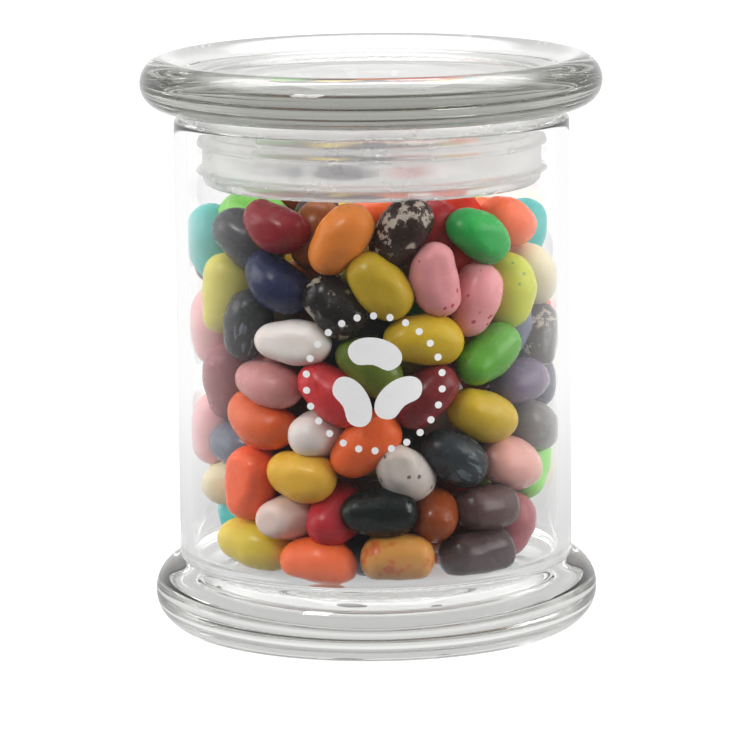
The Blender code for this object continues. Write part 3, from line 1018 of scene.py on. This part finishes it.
def glass_material(name, density, wave_height):
    """Pressed glass, faintly green where it is thick. Its shadow side lets the light through."""
    material, nodes, shader, output = new_material(name)
    shader.inputs["Base Color"].default_value = (1, 1, 1, 1)
    shader.inputs["Metallic"].default_value = 0.0
    shader.inputs["Transmission Weight"].default_value = 1.0
    shader.inputs["IOR"].default_value = 1.5
    shader.inputs["Roughness"].default_value = 0.0
    place = nodes.add("ShaderNodeTexCoord").outputs["Object"]
    ripple = nodes.add("ShaderNodeTexNoise", {"Vector": place, "Scale": 45.0, "Detail": 1.0}).outputs["Fac"]
    bump = nodes.add("ShaderNodeBump", {"Strength": wave_height, "Distance": MM, "Height": ripple})
    nodes.put(bump.outputs[0], shader.inputs["Normal"])
    clear = nodes.add("ShaderNodeBsdfTransparent", {"Color": (0.96, 0.965, 0.955, 1)})
    path = nodes.add("ShaderNodeLightPath").outputs
    lit_through = nodes.calc("MAXIMUM", path["Is Shadow Ray"], path["Is Diffuse Ray"])
    either = nodes.add("ShaderNodeMixShader", {0: lit_through, 1: shader.outputs[0], 2: clear.outputs[0]})
    nodes.put(either.outputs[0], output.inputs["Surface"])
    depth = nodes.add("ShaderNodeVolumeAbsorption", {"Color": GLASS_DEPTH_COLOUR, "Density": density})
    nodes.put(depth.outputs[0], output.inputs["Volume"])
    return material


def seal_material():
    material, nodes, shader, _ = new_material("seal_plastic")
    place = nodes.add("ShaderNodeTexCoord").outputs["Object"]
    cloud = nodes.add("ShaderNodeTexNoise", {"Vector": place, "Scale": 160.0, "Detail": 2.0}).outputs["Fac"]
    tint = nodes.blend(cloud, (0.98, 0.975, 0.98, 1), (1, 1, 1, 1))
    rough = nodes.plus(0.2, nodes.times(cloud, 0.12))
    nodes.put(tint, shader.inputs["Base Color"])
    nodes.put(rough, shader.inputs["Roughness"])
    shader.inputs["Transmission Weight"].default_value = 0.7
    shader.inputs["Subsurface Weight"].default_value = 1.0
    shader.inputs["Subsurface Radius"].default_value = (1.0, 1.0, 1.0)
    shader.inputs["Subsurface Scale"].default_value = 4.0 * MM
    shader.inputs["IOR"].default_value = 1.15
    return material


def print_material():
    """Fired white ink, slightly uneven."""
    material, nodes, shader, _ = new_material("white_ink")
    place = nodes.add("ShaderNodeTexCoord").outputs["Object"]
    cloud = nodes.add("ShaderNodeTexNoise", {"Vector": place, "Scale": 900.0, "Detail": 3.0}).outputs["Fac"]
    nodes.put(nodes.blend(cloud, (0.93, 0.93, 0.93, 1), (1, 1, 1, 1)), shader.inputs["Base Color"])
    nodes.put(nodes.plus(0.3, nodes.times(cloud, 0.2)), shader.inputs["Roughness"])
    return material


# ---------------------------------------------------------------- studio


def once_mirrored(nodes, path, darkness):
    """A darkness that counts little in light that the glass has mirrored more than once."""
    often = nodes.calc("GREATER_THAN", path["Glossy Depth"], 1.5)
    return nodes.times(darkness, nodes.rest(nodes.times(often, OFTEN_MIRRORED)))


def make_floor():
    """A white floor that glows for the camera and through the glass, greyer mirrored, and dim as a light.
    Through the glass and mirrored, it is dimmer near the jar: a painted shadow.
    """
    deselect()
    bpy.ops.mesh.primitive_plane_add(size=6.0, location=(0, 0, 0))
    floor = bpy.context.object
    floor.name = "studio_floor"
    material, nodes, shader, _ = new_material("pale_floor")
    place = nodes.add("ShaderNodeTexCoord").outputs["Object"]
    cloud = nodes.add("ShaderNodeTexNoise", {"Vector": place, "Scale": 6.0, "Detail": 3.0}).outputs["Fac"]
    pale = nodes.blend(cloud, (0.50, 0.50, 0.50, 1), (0.53, 0.53, 0.53, 1))
    away = nodes.add("ShaderNodeVectorMath", {0: place}, operation="LENGTH").outputs["Value"]
    _, back, _ = nodes.add("ShaderNodeSeparateXYZ", {0: place}).outputs
    path = nodes.add("ShaderNodeLightPath").outputs
    reflected = nodes.calc("GREATER_THAN", path["Glossy Depth"], 0.5)
    through_glass = nodes.calc("MAXIMUM", path["Is Transmission Ray"], reflected)
    shade = nodes.blend(through_glass, pale, (0, 0, 0, 1))
    shade = nodes.blend(path["Is Diffuse Ray"], shade, (*[FLOOR_AS_LIGHT] * 3, 1))
    nodes.put(shade, shader.inputs["Base Color"])
    shader.inputs["Roughness"].default_value = 0.8
    shader.inputs["Specular IOR Level"].default_value = 0.0
    # painted shadow: near the jar, the glow seen through the glass and in mirrored light is dimmer
    far = nodes.ramp(away, *FLOOR_BRIGHTENS)
    seen = nodes.between(far, FLOOR_NEAR, FLOOR_FAR)
    mirrored = nodes.between(far, FLOOR_NEAR_MIRRORED, FLOOR_FAR_MIRRORED)
    front = nodes.rest(nodes.ramp(nodes.calc("DIVIDE", back, away), *FRONT_FADES))
    darker = nodes.times(nodes.times(front, FRONT_DARKNESS), nodes.ramp(away, *FLOOR_DARKENS))
    darker = once_mirrored(nodes, path, darker)
    mirrored = nodes.times(mirrored, nodes.rest(darker))
    glow = nodes.between(path["Is Transmission Ray"], FLOOR_GLOW, seen)
    glow = nodes.between(reflected, glow, mirrored)
    not_light = nodes.rest(path["Is Diffuse Ray"])
    shader.inputs["Emission Color"].default_value = (1, 1, 1, 1)
    nodes.put(nodes.times(glow, not_light), shader.inputs["Emission Strength"])
    material.cycles.emission_sampling = "NONE"
    paint(floor, material)


def make_world():
    """A white tent round the jar, with greyer bands above and a dark place in front, where the camera stands.

    What lights the beans is dimmer than what the glass bends or mirrors.
    """
    world = bpy.data.worlds.new("studio")
    bpy.context.scene.world = world
    world.use_nodes = True
    nodes = Nodes(world.node_tree)
    world.node_tree.nodes.clear()
    direction = nodes.add("ShaderNodeTexCoord").outputs["Generated"]
    _, back, up = nodes.add("ShaderNodeSeparateXYZ", {0: direction}).outputs
    front = nodes.rest(nodes.ramp(back, *FRONT_FADES))
    unlit = nodes.rest(nodes.ramp(back, *FRONT_LIGHT_FADES))

    def by_height(*stops):
        ramp = nodes.add("ShaderNodeValToRGB", {0: nodes.plus(nodes.times(up, 0.5), 0.5)})
        for place, (height, value) in zip(ramp.color_ramp.elements, (stops[0], stops[-1])):
            place.position, place.color = (height + 1) / 2, (value, value, value, 1)
        for height, value in stops[1:-1]:
            ramp.color_ramp.elements.new((height + 1) / 2).color = (value, value, value, 1)
        return ramp.outputs[0]

    path = nodes.add("ShaderNodeLightPath").outputs
    through_glass = by_height(*SEEN_THROUGH)
    darkness = nodes.between(nodes.ramp(up, *FRONT_LOWERS), FRONT_DARKNESS, FRONT_DARKNESS_ABOVE)
    darker = nodes.times(front, darkness)
    darker = once_mirrored(nodes, path, darker)
    mirrored = nodes.blend(1.0, by_height(*MIRRORED), nodes.grey(nodes.rest(darker)), "MULTIPLY")
    outer_face = nodes.calc("LESS_THAN", path["Transmission Depth"], 0.5)
    glare = nodes.times(nodes.times(outer_face, nodes.ramp(up, *CEILING)), OVERHEAD_GLARE)
    mirrored = nodes.blend(1.0, mirrored, nodes.grey(glare), "ADD")
    light = nodes.grey(nodes.calc("SUBTRACT", SKY_LIGHT, nodes.times(unlit, SKY_LIGHT - FRONT_LIGHT)))
    colour = nodes.blend(path["Is Transmission Ray"], light, through_glass)
    reflected = nodes.calc("GREATER_THAN", path["Glossy Depth"], 0.5)
    colour = nodes.blend(reflected, colour, mirrored)
    colour = nodes.blend(path["Is Diffuse Ray"], colour, light)
    colour = nodes.blend(path["Is Camera Ray"], colour, (1, 1, 1, 1))
    background = nodes.add("ShaderNodeBackground", {"Color": colour, "Strength": 1.0})
    nodes.add("ShaderNodeOutputWorld", {"Surface": background.outputs[0]})


def make_lamp(name, place, aim, size, watts, mirrored):
    lamp = bpy.data.lights.new(name, "AREA")
    lamp.shape = "SQUARE"
    lamp.size = size
    lamp.energy = watts
    piece = bpy.data.objects.new(name, lamp)
    bpy.context.scene.collection.objects.link(piece)
    piece.visible_glossy = mirrored
    piece.location = place
    piece.rotation_euler = (Vector(aim) - Vector(place)).to_track_quat("-Z", "Y").to_euler()


def make_camera():
    lens = bpy.data.cameras.new("camera")
    lens.sensor_width = 36.0
    lens.lens = CAMERA_LENS
    lens.clip_start, lens.clip_end = 0.05, 20.0
    camera = bpy.data.objects.new("camera", lens)
    bpy.context.scene.collection.objects.link(camera)
    place = Vector(CAMERA_PLACE) * MM
    aim = Vector(CAMERA_AIM) * MM
    camera.location = place
    turn = (aim - place).to_track_quat("-Z", "Y").to_euler()
    turn.rotate_axis("Z", math.radians(CAMERA_ROLL))
    camera.rotation_euler = turn
    bpy.context.scene.camera = camera


# ---------------------------------------------------------------- putting it together

jar_glass = glass_material("jar_glass", JAR_DENSITY, 0.02)
lid_glass = glass_material("lid_glass", LID_DENSITY, 0.02)

jar = make_jar()
paint(jar, jar_glass)
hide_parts("jar")

lid = make_lid()
paint(lid, lid_glass)
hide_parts("lid")

seal = make_seal()
paint(seal, seal_material())
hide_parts("lid_seal")

group = sugar_shell_group()
shells = {kind: shell_material(kind, group) for kind in KINDS}
beans = make_beans(shells)
core = make_core()
paint(core, core_material())
for piece in [*beans, core]:
    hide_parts("jelly_bean_heap")

motif = make_print(jar)
paint(motif, print_material())

for piece in [jar, lid, seal, *beans, core, motif]:
    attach(piece, "root")

make_floor()
make_world()
for lamp in LAMPS:
    make_lamp(*lamp)
make_camera()
bpy.context.scene.view_settings.view_transform = "Standard"
paths = bpy.context.scene.cycles
paths.max_bounces = paths.glossy_bounces = paths.transmission_bounces = GLASS_BOUNCES
